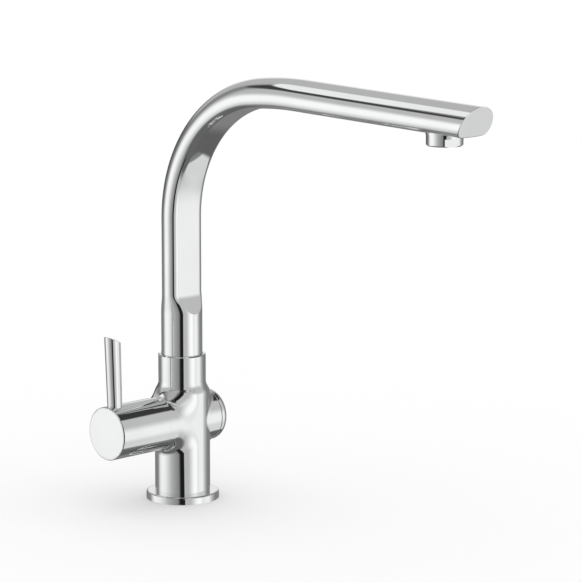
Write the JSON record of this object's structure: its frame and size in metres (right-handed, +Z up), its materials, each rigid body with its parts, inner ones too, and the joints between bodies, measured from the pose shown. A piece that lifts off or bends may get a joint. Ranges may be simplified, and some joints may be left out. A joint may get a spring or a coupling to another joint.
{
  "type": "three way kitchen tap",
  "caption": "Chrome kitchen tap with a side lever for hot and cold water, a side knob for filtered water and an L-shaped swivel spout with a tube inside for the filtered water.",
  "frame": {"origin": "centre of the base's underside, on the worktop, on the column's axis", "axes": "+Z up along the column; the spout points along -Y at rest; the mixing lever is on -X and the filter knob on +X"},
  "size_m": [0.0968, 0.2984, 0.2985],
  "materials": {
    "chrome": "polished plating on brass",
    "brass": "turned",
    "steel": "stainless",
    "rubber": "matt",
    "moulded_plastic": "moulded",
    "line_plastic": "milky flexible tube",
    "insert_plastic": "moulded",
    "plug_plastic": "grey",
    "chrome_plastic": "chrome plated plastic",
    "ceramic": "lapped alumina"
  },
  "bodies": {
    "body": {"tap_body": "chrome", "base_ring": "chrome", "base_gasket": "rubber", "cartridge_seal": "rubber", "cartridge_base": "moulded_plastic", "fixed_ceramic_disc": "ceramic", "cartridge_housing": "moulded_plastic", "cartridge_nut": "brass", "dome_cover": "chrome", "filter_seal": "rubber", "filter_valve_body": "brass", "filter_fixed_disc": "ceramic", "spout_slide_ring": "moulded_plastic", "swivel_lock_screw": "steel"},
    "mixer_rotor": {"cartridge_rotor": "moulded_plastic", "pivot_pin": "steel"},
    "mixer_handle": {"cartridge_stem": "brass", "handle_hub": "chrome", "pin_lever": "chrome", "hub_end_cap": "chrome", "handle_grub_screw": "steel", "hub_plug": "plug_plastic"},
    "mixer_disc": {"moving_ceramic_disc": "ceramic", "disc_carrier": "moulded_plastic"},
    "filter_control": {"filter_knob": "chrome", "knob_screw": "steel", "knob_cap": "chrome_plastic", "filter_spindle": "brass", "filter_spindle_o_ring": "rubber", "filter_moving_disc": "ceramic"},
    "spout": {"spout_tube": "chrome", "spout_end_plate": "chrome", "spout_spigot": "brass", "spout_o_rings": "rubber", "filter_line": "line_plastic", "line_connector": "brass", "line_o_ring": "rubber", "filter_nozzle": "insert_plastic", "aerator_socket": "chrome", "aerator_housing": "chrome", "aerator_gasket": "rubber", "aerator_insert": "insert_plastic"}
  },
  "joints": [
    {"name": "temperature", "type": "hinge", "parent": "body", "child": "mixer_rotor", "pos_m": [-0.018, 0, 0.0553], "axis": [1, 0, 0], "range_deg": [-45, 45]},
    {"name": "flow", "type": "hinge", "parent": "mixer_rotor", "child": "mixer_handle", "pos_m": [-0.018, 0, 0.0553], "axis": [0, -1, 0], "range_deg": [0, 20]},
    {"name": "disc_slide", "type": "slide", "parent": "mixer_rotor", "child": "mixer_disc", "axis": [0, 0, 1], "range_m": [0, 0.0022]},
    {"name": "filter_turn", "type": "hinge", "parent": "body", "child": "filter_control", "pos_m": [0.0242, 0, 0.0553], "axis": [1, 0, 0], "range_deg": [0, 90]},
    {"name": "spout_swivel", "type": "hinge", "parent": "body", "child": "spout", "pos_m": [0, 0, 0.0988], "axis": [0, 0, 1], "range_deg": [-75, 75]}
  ],
  "couplings": [
    {"joint": "disc_slide", "follows": "flow", "m_per_rad": 0.006}
  ]
}
